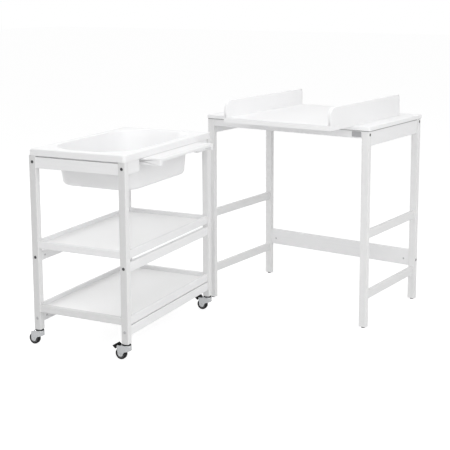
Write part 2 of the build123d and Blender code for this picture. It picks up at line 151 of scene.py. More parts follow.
def eased_slab(outline, low, high, ease, steps=5):
    """Flat outline given a thickness, its two edges rounded: each row of the rounding is the outline drawn
    in along its own normals by ease (1 - sin a), at the height ease (1 - cos a) from the face."""
    outline = np.asarray(outline, float)
    tangent = np.roll(outline, -1, 0) - np.roll(outline, 1, 0)
    tangent /= np.linalg.norm(tangent, axis=1)[:, None]
    inward = np.stack([-tangent[:, 1], tangent[:, 0]], 1)
    x, y = outline.T
    inward *= math.copysign(1, np.sum(x * np.roll(y, -1) - y * np.roll(x, -1)))
    rows = []
    for angle in np.linspace(0, math.pi / 2, steps):
        rows.append((ease * (1 - math.sin(angle)), low + ease * (1 - math.cos(angle))))
    rows += [(drawn, high + low - height) for drawn, height in reversed(rows)]
    points = [np.c_[outline + inward * drawn, np.full(len(outline), height)] for drawn, height in rows]
    count = len(outline)
    faces = quads(len(rows), count, True).tolist()
    faces.append(list(range(count))[::-1])
    faces.append(list(range((len(rows) - 1) * count, len(rows) * count)))
    return np.concatenate(points), faces


def join(*solids):
    """Several solids as one list of points and one of faces."""
    points, faces, start = [], [], 0
    for some_points, some_faces in solids:
        points.append(np.asarray(some_points, float))
        some_faces = np.asarray(some_faces, dtype=object).tolist()
        faces += [[start + corner for corner in face] for face in some_faces]
        start += len(some_points)
    return np.concatenate(points), faces


def piece(name, solid, material, body, replaced, place, sharp=35):
    """One new piece of the model, put in its place: its mesh is welded, its faces point outwards, edges
    that turn by more than sharp degrees stay sharp, and it rides on its body."""
    points, faces = solid
    mesh = bpy.data.meshes.new(name)
    mesh.from_pydata(place(points).tolist(), [], [list(face) for face in faces])
    work = bmesh.new()
    work.from_mesh(mesh)
    bmesh.ops.remove_doubles(work, verts=work.verts, dist=WELD)
    bmesh.ops.recalc_face_normals(work, faces=work.faces)
    work.to_mesh(mesh)
    work.free()
    mesh.shade_smooth()
    mesh.set_sharp_from_angle(angle=math.radians(sharp))
    made = bpy.data.objects.new(name, mesh)
    bpy.context.scene.collection.objects.link(made)
    mesh.materials.append(material)
    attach(made, body)
    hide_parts(*replaced)
    return made


def wire(tree, source, target):
    """Joins one node's output to another's input."""
    tree.links.new(source, target)


def add(tree, kind, values=None, **settings):
    """New node with its settings, and its inputs set to values or joined to other nodes' outputs."""
    made = tree.nodes.new(kind)
    for key, value in settings.items():
        setattr(made, key, value)
    for key, value in (values or {}).items():
        if isinstance(value, bpy.types.NodeSocket):
            wire(tree, value, made.inputs[key])
        else:
            made.inputs[key].default_value = value
    return made


def calc(tree, operation, *values):
    """Output of a Math node that works on the values."""
    return add(tree, "ShaderNodeMath", dict(enumerate(values)), operation=operation).outputs[0]


def vector_calc(tree, operation, first, second):
    """Vector Math node that works on two vectors."""
    return add(tree, "ShaderNodeVectorMath", {0: first, 1: second}, operation=operation)


def tinted(tree, colour, level):
    """Colour times a level."""
    values = {0: colour, "Scale": level}
    return add(tree, "ShaderNodeVectorMath", values, operation="SCALE").outputs[0]


def noise(tree, where, scale, detail, distortion=0.0):
    """Output of a noise texture."""
    values = {"Vector": where, "Scale": scale, "Detail": detail, "Distortion": distortion}
    return add(tree, "ShaderNodeTexNoise", values).outputs["Fac"]


def ramp(tree, value, start=0.0, end=1.0, first=0.0, last=1.0):
    """A level that runs from first to last while the value runs from start to end."""
    values = {"Value": value, "From Min": start, "From Max": end, "To Min": first, "To Max": last}
    return add(tree, "ShaderNodeMapRange", values).outputs["Result"]


def new_group(name, inputs, outputs):
    """Empty node group with its named sockets, and its input and output nodes."""
    tree = bpy.data.node_groups.new(name, "ShaderNodeTree")
    for socket, (kind, value) in inputs.items():
        made = tree.interface.new_socket(name=socket, in_out="INPUT", socket_type=kind)
        if value is not None:
            made.default_value = value
    for socket, kind in outputs.items():
        tree.interface.new_socket(name=socket, in_out="OUTPUT", socket_type=kind)
    return tree, tree.nodes.new("NodeGroupInput").outputs, tree.nodes.new("NodeGroupOutput").inputs


def grey(level, cool=0.0):
    """Neutral colour, made cooler by a little more blue."""
    return (level, level, level + cool, 1.0)


FLOAT, COLOUR, VECTOR = "NodeSocketFloat", "NodeSocketColor", "NodeSocketVector"
SURFACE = {"Colour": COLOUR, "Roughness": FLOAT, "Height": FLOAT}


def edge_group():
    """Mask of worn edges: where the surface, rounded over a small radius, turns from its own normal."""
    inputs = {"Vector": (VECTOR, None), "Radius": (FLOAT, 0.0012)}
    tree, given, put = new_group("worn_edges", inputs, {"Mask": FLOAT})
    soft = add(tree, "ShaderNodeBevel", {"Radius": given["Radius"]}, samples=4).outputs["Normal"]
    true = add(tree, "ShaderNodeNewGeometry").outputs["Normal"]
    alike = vector_calc(tree, "DOT_PRODUCT", soft, true).outputs["Value"]
    turned = ramp(tree, alike, start=0.995, end=0.8)
    patchy = noise(tree, given["Vector"], scale=60.0, detail=3.0)
    broken = ramp(tree, patchy, start=0.4, end=0.65)
    wire(tree, calc(tree, "MULTIPLY", turned, broken), put["Mask"])
    return tree


def grain_group():
    """White lacquer over beech: long soft figure and fine pores along X, both faint under the paint."""
    inputs = {"Vector": (VECTOR, None), "Colour": (COLOUR, grey(0.9))}
    tree, given, put = new_group("lacquered_beech", inputs, SURFACE)
    figure_run, pore_run = (5.0, 60.0, 60.0), (70.0, 1100.0, 1100.0)
    pore_dark, figure_rise = 0.03, 0.5
    long = vector_calc(tree, "MULTIPLY", given["Vector"], figure_run).outputs[0]
    figure = noise(tree, long, scale=1.0, detail=4.0, distortion=0.6)
    fine = vector_calc(tree, "MULTIPLY", given["Vector"], pore_run).outputs[0]
    pores = ramp(tree, noise(tree, fine, scale=1.0, detail=2.0), start=0.56, end=0.72)
    dim = ramp(tree, figure, first=0.955, last=1.02)
    level = calc(tree, "SUBTRACT", dim, calc(tree, "MULTIPLY", pores, pore_dark))
    wire(tree, tinted(tree, given["Colour"], level), put["Colour"])
    wire(tree, ramp(tree, figure, first=0.36, last=0.52), put["Roughness"])
    high = calc(tree, "SUBTRACT", calc(tree, "MULTIPLY", figure, figure_rise), pores)
    wire(tree, high, put["Height"])
    return tree


def skin_group():
    """Moulded or sprayed skin: shallow orange peel, cloudy tone and a few fine scuffs."""
    inputs = {
        "Vector": (VECTOR, None),
        "Colour": (COLOUR, grey(0.9)),
        "Peel": (FLOAT, 400.0),
        "Rough": (FLOAT, 0.35),
        "Cloud": (FLOAT, 0.03),
    }
    tree, given, put = new_group("moulded_skin", inputs, SURFACE)
    scuff_run, scuff_rough = (40.0, 300.0, 160.0), 0.12
    peel = noise(tree, given["Vector"], scale=given["Peel"], detail=2.0)
    cloud = noise(tree, given["Vector"], scale=9.0, detail=3.0)
    thin = vector_calc(tree, "MULTIPLY", given["Vector"], scuff_run).outputs[0]
    marks = ramp(tree, noise(tree, thin, scale=1.0, detail=5.0), start=0.62, end=0.75)
    level = calc(tree, "SUBTRACT", 1.0, calc(tree, "MULTIPLY", cloud, given["Cloud"]))
    wire(tree, tinted(tree, given["Colour"], level), put["Colour"])
    wire(tree, calc(tree, "MULTIPLY_ADD", marks, scuff_rough, given["Rough"]), put["Roughness"])
    wire(tree, peel, put["Height"])
    return tree


EDGES, GRAIN, SKIN = edge_group(), grain_group(), skin_group()


def blank(name):
    """New material, its tree, its Principled shader, and object coordinates."""
    made = bpy.data.materials.new(name)
    made.use_nodes = True
    tree = made.node_tree
    shader = tree.nodes["Principled BSDF"]
    where = tree.nodes.new("ShaderNodeTexCoord").outputs["Object"]
    return made, tree, shader, where


def finish_material(tree, shader, where, group, values, worn_colour, wear, bump, distance):
    """Joins a surface group to the shader, with worn edges mixed in and a bump from its height. The two
    colours of a Mix node are its inputs 6 and 7, and the mixed colour is its output 2."""
    surface = add(tree, "ShaderNodeGroup", values, node_tree=group).outputs
    colour = surface["Colour"]
    if wear:
        mask = add(tree, "ShaderNodeGroup", {"Vector": where}, node_tree=EDGES).outputs["Mask"]
        mix = {0: calc(tree, "MULTIPLY", mask, wear), 6: colour, 7: worn_colour}
        colour = add(tree, "ShaderNodeMix", mix, data_type="RGBA").outputs[2]
    wire(tree, colour, shader.inputs["Base Color"])
    wire(tree, surface["Roughness"], shader.inputs["Roughness"])
    lift = {"Height": surface["Height"], "Strength": bump, "Distance": distance}
    wire(tree, add(tree, "ShaderNodeBump", lift).outputs["Normal"], shader.inputs["Normal"])


WHITE = grey(0.88, 0.005)
BARE_BEECH = (0.74, 0.70, 0.64, 1.0)


def timber(name, turn, tone=WHITE, dim_along=None, dim_from=0.0, dim_to=0.0, dim=1.0):
    """Lacquered beech with its grain along one axis: turn is the rotation that lays the grain on X. The
    tone falls to a share, dim, of itself between two distances along one direction, where that is given:
    painted shade."""
    made, tree, shader, where = blank(name)
    laid = add(tree, "ShaderNodeMapping", {"Vector": where, "Rotation": turn}).outputs["Vector"]
    if dim_along is not None:
        reach = vector_calc(tree, "DOT_PRODUCT", where, tuple(dim_along)).outputs["Value"]
        tone = tinted(tree, tone[:3], ramp(tree, reach, dim_from, dim_to, 1.0, dim))
    values = {"Vector": laid, "Colour": tone}
    finish_material(tree, shader, where, GRAIN, values, BARE_BEECH, wear=0.25, bump=0.12, distance=0.0006)
    shader.inputs["Coat Weight"].default_value = 0.15
    shader.inputs["Coat Roughness"].default_value = 0.25
    return made


def skinned(name, colour, rough, peel, cloud, wear=0.0, worn=WHITE, bump=0.1, metal=0.0, gloss=0.5):
    """Material of moulded plastic, sprayed board or plated steel."""
    made, tree, shader, where = blank(name)
    values = {"Vector": where, "Colour": colour, "Peel": peel, "Rough": rough, "Cloud": cloud}
    finish_material(tree, shader, where, SKIN, values, worn, wear, bump, distance=0.0004)
    shader.inputs["Metallic"].default_value = metal
    shader.inputs["Specular IOR Level"].default_value = gloss
    return made


# Timber, by the way its grain runs; the legs, posts and some rails are a little darker
ALONG_X = (0.0, 0.0, 0.0)
ALONG_Y = (0.0, 0.0, -math.pi / 2)
ALONG_Z = (0.0, math.pi / 2, 0.0)
ALONG_TROLLEY = (0.0, 0.0, -TROLLEY_TURN)
ACROSS_TROLLEY = (0.0, 0.0, -TROLLEY_TURN - math.pi / 2)
UPRIGHT_TONE = grey(0.825)
# The painted shade in the joint under the table top, which is deeper on the side aprons, and the painted
# shade that darkens the posts' faces at the trolley's left end
JOINT_SHADE = (UP, LEG_TOP - 0.0045, LEG_TOP - 0.0025, 0.3)
DEEP_JOINT_SHADE = (UP, LEG_TOP - 0.0085, LEG_TOP - 0.006, 0.3)
END_AT = float(TROLLEY_ORIGIN @ LONG)
# Painted shade: the posts' faces at the trolley's left end are darkened
END_FACE_SHADE = (LONG, END_AT + 0.0008, END_AT + 0.0002, 0.86)
timbers = {
    "table_x": timber("table_timber_across", ALONG_X),
    "table_rail": timber("table_rail_timber", ALONG_Y, grey(0.80)),
    "apron_x": timber("apron_timber_across", ALONG_X, WHITE, *JOINT_SHADE),
    "apron_y": timber("apron_timber_deep", ALONG_Y, WHITE, *DEEP_JOINT_SHADE),
    "leg": timber("leg_timber", ALONG_Z, UPRIGHT_TONE, *JOINT_SHADE),
    "post": timber("post_timber", ALONG_Z, UPRIGHT_TONE, *END_FACE_SHADE),
    "trolley_long": timber("trolley_timber_long", ALONG_TROLLEY),
    "trolley_wide": timber("trolley_timber_wide", ACROSS_TROLLEY),
    "low_rail": timber("low_rail_timber", ACROSS_TROLLEY, grey(0.76)),
}

# Boards, plastics and metals
BOARD = {"rough": 0.4, "peel": 500.0, "cloud": 0.02, "wear": 0.2, "worn": (0.72, 0.70, 0.66, 1.0)}
sprayed_board = skinned("sprayed_board", grey(0.90, 0.005), **BOARD)
# The shelf boards are the sprayed board made lighter: painted light on the shelves under the tub
shelf_board_painted_light = skinned("shelf_board_painted_light", grey(0.95), **BOARD)
tub_plastic = skinned("tub_plastic", grey(0.885, 0.005), rough=0.36, peel=260.0, cloud=0.03, gloss=0.3)
zinc = skinned(
    "zinc_plate", (0.50, 0.51, 0.52, 1.0), rough=0.20, peel=300.0, cloud=0.2,
    wear=0.3, worn=grey(0.85), bump=0.2, metal=1.0,
)
tread_black = skinned(
    "tread_rubber", grey(0.010, 0.001), rough=0.6, peel=900.0, cloud=0.3, bump=0.3, gloss=0.2
)
hub_grey = skinned("hub_plastic", grey(0.11, 0.005), rough=0.45, peel=600.0, cloud=0.2, bump=0.2)
# The swivel seal's black is partly painted shade of the gap under the post
black_seal_gap_shade = skinned("swivel_seal_gap_shade", grey(0.006), rough=0.5, peel=900.0, cloud=0.1, gloss=0.1)
pedal_black = skinned(
    "pedal_plastic", grey(0.006), rough=0.5, peel=700.0, cloud=0.2,
    wear=0.2, worn=grey(0.03), bump=0.2, gloss=0.15,
)
bolt_steel = skinned(
    "bolt_steel", grey(0.10, 0.005), rough=0.38, peel=700.0, cloud=0.2,
    wear=0.5, worn=grey(0.4), bump=0.2, metal=1.0,
)
plain_steel = skinned(
    "plain_steel", grey(0.55, 0.01), rough=0.35, peel=500.0, cloud=0.2,
    wear=0.3, worn=grey(0.7), bump=0.2, metal=1.0,
)
glide_plastic = skinned("glide_plastic", grey(0.10), rough=0.5, peel=800.0, cloud=0.2, bump=0.2)
badge_plate = skinned(
    "badge_plate", grey(0.42, 0.01), rough=0.3, peel=600.0, cloud=0.1,
    wear=0.3, worn=grey(0.8), bump=0.15, metal=1.0,
)


def skin(loops):
    """Closed skin through a stack of loops of n points, each end closed by a fan from its mean point."""
    count = len(loops[0])
    points = np.concatenate([*loops, loops[0].mean(0)[None], loops[-1].mean(0)[None]])
    around = np.arange(count)
    after = (around + 1) % count
    last = (len(loops) - 1) * count
    first_fan = np.stack([after, around, np.full(count, len(loops) * count)], 1)
    last_fan = np.stack([last + around, last + after, np.full(count, len(loops) * count + 1)], 1)
    return points, quads(len(loops), count, True).tolist() + first_fan.tolist() + last_fan.tolist()


def tub_skin():
    """Skin of the tub, from the middle of its floor up the inner wall, over the lip, the flat rim and the
    skirt, and back under the rim and down the outer wall.

    Every loop is a rounded rectangle. At the share s = (rim - z) / depth of the way down, the wall lies
    42 + 85 s mm in from the ends and 42 + 7 s mm in from the sides, with a corner radius of
    472 (0.34 - 0.17 s) mm. Each rounding runs through a quarter turn a: r (1 - sin a) in and
    r (1 - cos a) down.
    """
    over_posts, rim_width, taper = 0.0005, 0.042, np.array([0.085, 0.007])
    corner_share, corner_taper, skirt_corner = 0.34, 0.17, 0.014
    depth, floor_round, lip_round, skirt_round, hem_round = 0.175, 0.015, 0.003, 0.005, 0.0008
    half = np.array(TROLLEY) / 2 + over_posts
    belly = RIM_TOP - depth
    floor, under = belly + TUB_WALL, RIM_TOP - TUB_WALL
    belly_round = floor_round + TUB_WALL
    rings = (0.04, 0.35, 0.7)
    loops = []

    def put(flat, level):
        """Adds a loop at a level."""
        loops.append(np.c_[flat, np.full(len(flat), level)])

    def wall(level, inset, grow):
        """Loop of the wall at a level, drawn in by inset and let out by grow."""
        share = (RIM_TOP - level) / depth
        size = half - rim_width - taper * share + grow - inset
        radius = TROLLEY[1] * (corner_share - corner_taper * share) + grow - inset
        return rounded_loop(size[0], size[1], radius)

    def edge(inset):
        """Loop of the rim's outer edge, drawn in by inset."""
        return rounded_loop(half[0] - inset, half[1] - inset, skirt_corner - inset)

    for part in rings:
        put(wall(floor, floor_round, 0.0) * part, floor)
    for turn in np.linspace(math.pi / 2, 0, 8):
        level = floor + floor_round * (1 - math.sin(turn))
        put(wall(level, floor_round * (1 - math.cos(turn)), 0.0), level)
    for level in np.linspace(floor + floor_round, RIM_TOP - lip_round, 18)[1:-1]:
        put(wall(level, 0.0, 0.0), level)
    for turn in np.linspace(math.pi / 2, 0, 6):
        level = RIM_TOP - lip_round * (1 - math.cos(turn))
        put(wall(level, -lip_round * (1 - math.sin(turn)), 0.0), level)
    put((wall(RIM_TOP, -lip_round, 0.0) + edge(skirt_round)) / 2, RIM_TOP)
    for turn in np.linspace(0, math.pi / 2, 8):
        level = RIM_TOP - skirt_round * (1 - math.cos(turn))
        put(edge(skirt_round * (1 - math.sin(turn))), level)
    hem = [(0.0, POST_TOP + 0.012), (0.0, POST_TOP + hem_round), (hem_round, POST_TOP)]
    hem += [(TUB_WALL - hem_round, POST_TOP), (TUB_WALL, POST_TOP + hem_round)]
    hem += [(TUB_WALL, under - lip_round), (TUB_WALL + lip_round, under)]
    for inset, level in hem:
        put(edge(inset), level)
    for level in np.linspace(under, belly + belly_round, 12):
        put(wall(level, 0.0, TUB_WALL), level)
    for turn in np.linspace(0, math.pi / 2, 8)[1:]:
        level = belly + belly_round * (1 - math.sin(turn))
        put(wall(level, belly_round * (1 - math.cos(turn)), TUB_WALL), level)
    for part in reversed(rings):
        put(wall(belly, belly_round, TUB_WALL) * part, belly)
    return skin(loops)


def rim_pads():
    """Four pads under the rim's corners, on which the tub stands on the posts: each is as large as a
    post's top less half a millimetre all round, with a round outer corner, and reaches into the rim."""
    inset, radius, ease = 0.0005, 0.013, 0.0006
    outer = np.array(TROLLEY) / 2 - inset
    inner = np.array(TROLLEY) / 2 - POST + inset
    turns = np.linspace(0, math.pi / 2, 10)
    corner = outer - radius + radius * np.stack([np.cos(turns), np.sin(turns)], 1)
    outline = np.concatenate([corner, [[inner[0], outer[1]], inner, [outer[0], inner[1]]]])
    pads = []
    for mirrored in ((1, 1), (-1, 1), (-1, -1), (1, -1)):
        turned = outline * mirrored
        ordered = turned if mirrored[0] == mirrored[1] else turned[::-1]
        pads.append(eased_slab(ordered, POST_TOP, RIM_TOP - TUB_WALL + inset, ease))
    return join(*pads)


def at_castor(corner):
    """Places points given from a castor's swivel axis: along the axle, back towards the wheel, and up."""
    along, back = CORNERS[corner]
    return lambda points: trolley(np.asarray(points, float) + [along, back, 0.0])


def on_axle(solid, back, up, flip=False):
    """Lathed solid laid with its axis along the axle, through a point back and up from the castor's foot."""
    points, faces = solid
    points = np.stack([-points[:, 2] if flip else points[:, 2], points[:, 0], points[:, 1]], 1)
    return points + [0.0, back, up], faces


def cheek_edge(back):
    """Lower edge of a fork's cheek: straight runs down to the foot, a round foot about the axle, and a
    steep straight run up to the pedal's ear."""
    run_back = (-0.0215, -0.012, -0.002, 0.0075, FOOT_NEAR)
    run_up = (0.0435, 0.040, 0.037, 0.0324, WHEEL_RADIUS)
    ear_slope = 6.0
    runs = np.interp(back, run_back, run_up)
    foot = WHEEL_RADIUS - np.sqrt(np.clip(FOOT_RADIUS**2 - (back - TRAIL) ** 2, 0, None))
    rise = WHEEL_RADIUS + (back - FOOT_FAR) * ear_slope
    return np.where(back < FOOT_NEAR, runs, np.where(back < FOOT_FAR, foot, rise))


def cheek_rib(back, up):
    """How far the pressed rib stands out of a cheek: exp(-((y - 19) / 1.6)^2) of 1 mm, faded out towards
    the cheek's lower edge and towards the crown."""
    rib_back, rib_width, rib_rise = 0.019, 0.0016, 0.001
    rib_from, fade_in, rib_to, fade_out = 0.031, 0.004, 0.057, 0.003
    window = np.clip((up - rib_from) / fade_in, 0, 1) * np.clip((rib_to - up) / fade_out, 0, 1)
    return rib_rise * np.exp(-(((back - rib_back) / rib_width) ** 2)) * window


def fork_shell(braked):
    """Open shell of the pressed fork, which a modifier thickens inwards.

    The section at each station runs up one cheek, over a shoulder of 4 mm, across the crown and down the
    other cheek. Its half width is 11.5 mm, widening to 16.5 mm under the swivel, and in front of that it
    falls as a quarter of an ellipse, so that the cheeks meet in a nose. Behind the crown only the cheeks
    go on, up to the pedal's ear on a braked castor, and as a quarter of an ellipse on a plain one.
    """
    widening, nose_from, nose_length, shoulder_radius = 0.005, -0.004, 0.0175, 0.004
    open_from, wide_to, wide_run = 0.024, 0.010, 0.014
    ear_radius, ear_up, ear_start_up = 0.0065, PIN_UP - 0.0005, 0.0588
    rear_low, rear_rise = 0.052, 0.0068

    turns = np.linspace(0, math.pi / 2, 14)
    nose_back = nose_from - nose_length * np.cos(turns)
    nose_half = (FORK_HALF + widening) * np.sin(turns)
    flank_back = np.linspace(nose_from, FOOT_NEAR, 24)[1:]
    spread = np.clip((wide_to - flank_back) / wide_run, 0, 1)
    flank_half = FORK_HALF + widening * spread * spread * (3 - 2 * spread)
    foot_turns = np.linspace(0, math.acos((TRAIL - open_from) / FOOT_RADIUS), 12)[1:]
    foot_back = TRAIL - FOOT_RADIUS * np.cos(foot_turns)
    back = np.concatenate([nose_back, flank_back, foot_back])[:, None]
    half = np.concatenate([nose_half, flank_half, np.full(len(foot_back), FORK_HALF)])[:, None]

    shoulder = np.minimum(shoulder_radius, half)
    low = cheek_edge(back)
    side_up = low + (CROWN - shoulder - low) * np.linspace(0, 1, 12)
    side_out = half + cheek_rib(back, side_up)
    round_turns = np.linspace(0, math.pi / 2, 6)[1:]
    round_out = half - shoulder * (1 - np.cos(round_turns))
    round_up = CROWN - shoulder * (1 - np.sin(round_turns))
    flat_out = (half - shoulder) * np.linspace(1, 0, 4)[1:]
    out = np.concatenate([side_out, round_out, flat_out], 1)
    up = np.concatenate([side_up, round_up, np.full(flat_out.shape, CROWN)], 1)
    out = np.concatenate([-out, out[:, -2::-1]], 1)
    up = np.concatenate([up, up[:, -2::-1]], 1)
    hood = np.stack([out, np.broadcast_to(back, out.shape), up], -1).reshape(-1, 3)
    solids = [(hood, quads(*out.shape, False).tolist())]

    rear_turns = np.linspace(foot_turns[-1], math.pi, 10)
    rear = TRAIL - FOOT_RADIUS * np.cos(rear_turns)
    if braked:
        rear = np.concatenate([rear, np.linspace(FOOT_FAR, PIN_BACK + ear_radius, 8)[1:]])
        ear = ear_up + np.sqrt(np.clip(ear_radius**2 - (rear - PIN_BACK) ** 2, 0, None))
        to_ear = np.interp(rear, (open_from, PIN_BACK), (ear_start_up, ear_up + ear_radius))
        high = np.where(rear < PIN_BACK, to_ear, ear)
    else:
        share = (rear - open_from) / (FOOT_FAR - open_from)
        high = rear_low + rear_rise * np.sqrt(np.clip(1 - share**2, 0, 1))
    rear, high = rear[:, None], high[:, None]
    up = cheek_edge(rear) + (high - cheek_edge(rear)) * np.linspace(0, 1, 12)
    for side in (-1, 1):
        cheek = np.stack([np.full(up.shape, side * FORK_HALF), np.broadcast_to(rear, up.shape), up], -1)
        faces = quads(*up.shape, False)
        solids.append((cheek.reshape(-1, 3), (faces if side < 0 else faces[:, ::-1]).tolist()))
    return join(*solids)


def fork_fittings(braked):
    """Swivel race on the crown, the axle with its two riveted ends, and the pedal pin's ends."""
    race = [(0, 0.0624), (0.0190, 0.0624), (0.0199, 0.0630), (0.0199, 0.0640), (0.0190, 0.0648), (0, 0.0648)]
    axle = [(0, -0.0125), (0.0030, -0.0125), (0.0030, 0.0125), (0, 0.0125)]
    rivet = [(0, 0.0113), (0.0046, 0.0113), (0.0046, 0.0121), (0.0040, 0.0130), (0.0030, 0.0133)]
    rivet += [(0.0021, 0.0131), (0.0016, 0.0122), (0, 0.0122)]
    parts = [lathe(race, 56), on_axle(lathe(axle, 24), TRAIL, WHEEL_RADIUS)]
    parts += [on_axle(lathe(rivet, 28), TRAIL, WHEEL_RADIUS, flip) for flip in (False, True)]
    if braked:
        end = [(0, 0.0113), (0.0026, 0.0113), (0.0026, 0.0119), (0.0018, 0.0125), (0, 0.0127)]
        parts += [on_axle(lathe(end, 20), PIN_BACK, PIN_UP, flip) for flip in (False, True)]
    return join(*parts)


def seal_gap_shade_ring():
    """Black ring round the swivel, between the race and the post's collar: a seal, whose black is
    also painted shade of the swivel gap.
    """
    profile = [(0.0152, 0.0646), (0.0178, 0.0646), (0.0184, 0.0652), (0.0184, 0.0672), (0.0176, 0.0684)]
    return lathe(profile + [(0.0152, 0.0684), (0.0152, 0.0646)], 56)


def tyre():
    """Ring of black tread, 17 mm wide, with round shoulders."""
    side = [(0.0186, 0.0060), (0.0188, 0.0080), (0.0194, 0.0085), (0.0222, 0.0085), (0.0236, 0.0081)]
    side += [(0.0245, 0.0072), (0.0249, 0.0058), (0.0250, 0.0040)]
    profile = [(radius, -across) for radius, across in side] + side[::-1] + [(0.0186, -0.0060)]
    return on_axle(lathe(profile, 72), TRAIL, WHEEL_RADIUS)


def wheel_hub():
    """Moulded hub with a boss round the bore, and five shallow panels sunk 0.9 mm into each face, which
    round the hub follow 3 cos 5a + 1.2, held between 0 and 1."""
    face = [(0.0031, 0.0079), (0.0056, 0.0079), (0.0062, 0.0073), (0.0066, 0.0062), (0.0080, 0.0060)]
    face += [(radius, 0.0060) for radius in (0.0090, 0.0100, 0.0120, 0.0140, 0.0150, 0.0160)]
    face += [(0.0172, 0.0062), (0.0180, 0.0070), (0.0187, 0.0072)]
    profile = [(radius, -across) for radius, across in face] + face[::-1] + [(0.0031, -0.0079)]
    panels, sunk, panel_from, panel_to, slope = 5, 0.0009, 0.0085, 0.0162, 0.001
    flank, share = 3, 1.2
    points, faces = lathe(profile, 90)
    radius = np.hypot(points[:, 0], points[:, 1])
    turn = np.arctan2(points[:, 1], points[:, 0])
    inside = np.clip((radius - panel_from) / slope, 0, 1) * np.clip((panel_to - radius) / slope, 0, 1)
    around = np.clip(np.cos(panels * turn) * flank + share, 0, 1)
    points[:, 2] -= np.sign(points[:, 2]) * sunk * inside * around
    return on_axle((points, faces), TRAIL, WHEEL_RADIUS)


def socket_bolt(reach):
    """Bolt along X from zero: a chamfered head, a hexagon socket whose wall lies at
    2.3 / cos(a - 30 degrees) mm in each sixth of a turn, and a plain shank.

    Each row is a radius, a distance along the bolt, and whether it is a row of the hexagon, where the
    radius is a share of the hexagon's.
    """
    rows = [(0.0, 0.0021, False), (1.0, 0.0021, True), (1.0, 0.0004, True), (1.1, 0.0, True)]
    rows += [(0.0057, 0.0, False), (0.0063, 0.0004, False), (0.0065, 0.0010, False)]
    rows += [(0.0065, 0.0030, False), (0.0030, 0.0030, False), (0.0030, reach - 0.001, False)]
    rows += [(0.0022, reach, False), (0.0, reach, False)]
    half_flats, steps = 0.0023, 48
    turn = np.linspace(0, 2 * math.pi, steps, endpoint=False)
    hexagon = half_flats / np.cos(np.mod(turn, math.pi / 3) - math.pi / 6)
    loops = []
    for radius, along, is_hexagon in rows:
        out = hexagon * radius if is_hexagon else radius
        loops.append(np.stack([np.full(steps, along), out * np.cos(turn), out * np.sin(turn)], 1))
    return np.concatenate(loops), quads(len(rows), steps, True).tolist()


def bolt_row(places, reach):
    """Bolts at their places; a bolt whose last value is true comes from the far end and points back."""
    solids = []
    for x, y, z, far in places:
        points, faces = socket_bolt(reach)
        solids.append((points * ([-1, 1, 1] if far else [1, 1, 1]) + [x, y, z], faces))
    return join(*solids)


# Castors
for corner in CORNERS:
    braked = corner.startswith("front")
    place = at_castor(corner)
    fork, wheel = f"fork_{corner}", f"wheel_{corner}"
    fork_node, wheel_node = [f"castor_fork_{corner}"], [f"castor_wheel_{corner}"]
    shell = piece(
        f"pressed_fork_{corner}", fork_shell(braked), zinc, fork, fork_node, place, sharp=40
    )
    thicken = shell.modifiers.new("sheet", "SOLIDIFY")
    thicken.thickness = SHEET
    thicken.offset = -1.0
    thicken.use_even_offset = True
    fittings = fork_fittings(braked)
    piece(f"fork_fittings_{corner}", fittings, zinc, fork, fork_node, place)
    piece(f"swivel_seal_gap_shade_{corner}", seal_gap_shade_ring(), black_seal_gap_shade, fork, fork_node, place)
    piece(f"tyre_{corner}", tyre(), tread_black, wheel, wheel_node, place, sharp=40)
    piece(f"wheel_hub_{corner}", wheel_hub(), hub_grey, wheel, wheel_node, place)

# Tub
tub_shape = join(tub_skin(), rim_pads())
piece("moulded_tub", tub_shape, tub_plastic, "bath_tub", ["tub"], trolley_middle, sharp=40)


def up_board(name, share=0.5, top=None):
    """Height at a share of the way up a board, from its lower edge to its upper one or to a given top."""
    low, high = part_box(name)
    return low[2] + share * ((high[2] if top is None else top) - low[2])


# Bolts: how far they reach, and where they sit along, across and up; far is true for those that come
# from the far end
TROLLEY_REACH, TABLE_REACH = 0.065, 0.072
TROLLEY_ENDS = ((0.0, False), (TROLLEY[0], True))
TABLE_ENDS = ((0.0, False), (TABLE[0], True))
POST_MIDDLES = (POST[1] / 2, TROLLEY[1] - POST[1] / 2)
FRONT_LEG, BACK_LEG = LEG_DEPTH / 2, TABLE[1] - LEG_DEPTH / 2
UPPER_BOLTS = (up_board("trolley_front_apron", top=POST_TOP), up_board("trolley_front_mid_rail"))
LOW_BOLT = up_board("trolley_front_low_rail")
TABLE_BOLTS = (
    (FRONT_LEG, up_board("table_front_apron")),
    (BACK_LEG, up_board("table_back_apron", share=0.78)),
    (BACK_LEG, up_board("table_back_stretcher", share=0.38)),
)
upper_row = [(u, v, z, far) for u, far in TROLLEY_ENDS for v in POST_MIDDLES for z in UPPER_BOLTS]
low_row = [(u, v, LOW_BOLT, far) for u, far in TROLLEY_ENDS for v in POST_MIDDLES]
table_row = [(u, v, z, far) for u, far in TABLE_ENDS for v, z in TABLE_BOLTS]
for name, row, reach, finish, body, node, place in (
    ("trolley_socket_bolts", upper_row, TROLLEY_REACH, bolt_steel, "trolley", "trolley_bolts", trolley),
    ("trolley_low_bolts", low_row, TROLLEY_REACH, plain_steel, "trolley", "trolley_bolts", trolley),
    ("table_socket_bolts", table_row, TABLE_REACH, bolt_steel, "table_frame", "table_bolts", table),
):
    piece(name, bolt_row(row, reach), finish, body, [node], place, sharp=30)

# Carried-over nodes and their finishes
FINISHES = {
    "table_top": sprayed_board, "changing_panel": sprayed_board, "left_guard": sprayed_board,
    "right_guard": sprayed_board, "upper_shelf_panel": shelf_board_painted_light, "lower_shelf_panel": shelf_board_painted_light,
    "side_shelf_panel": sprayed_board, "blank_badge": badge_plate, "table_glides": glide_plastic,
    "table_bolts": bolt_steel, "trolley_bolts": bolt_steel, "guard_screws": plain_steel,
    "table_barrel_nuts": plain_steel, "trolley_barrel_nuts": plain_steel, "side_shelf_pins": plain_steel,
    "castor_stems": zinc, "tub": tub_plastic,
}


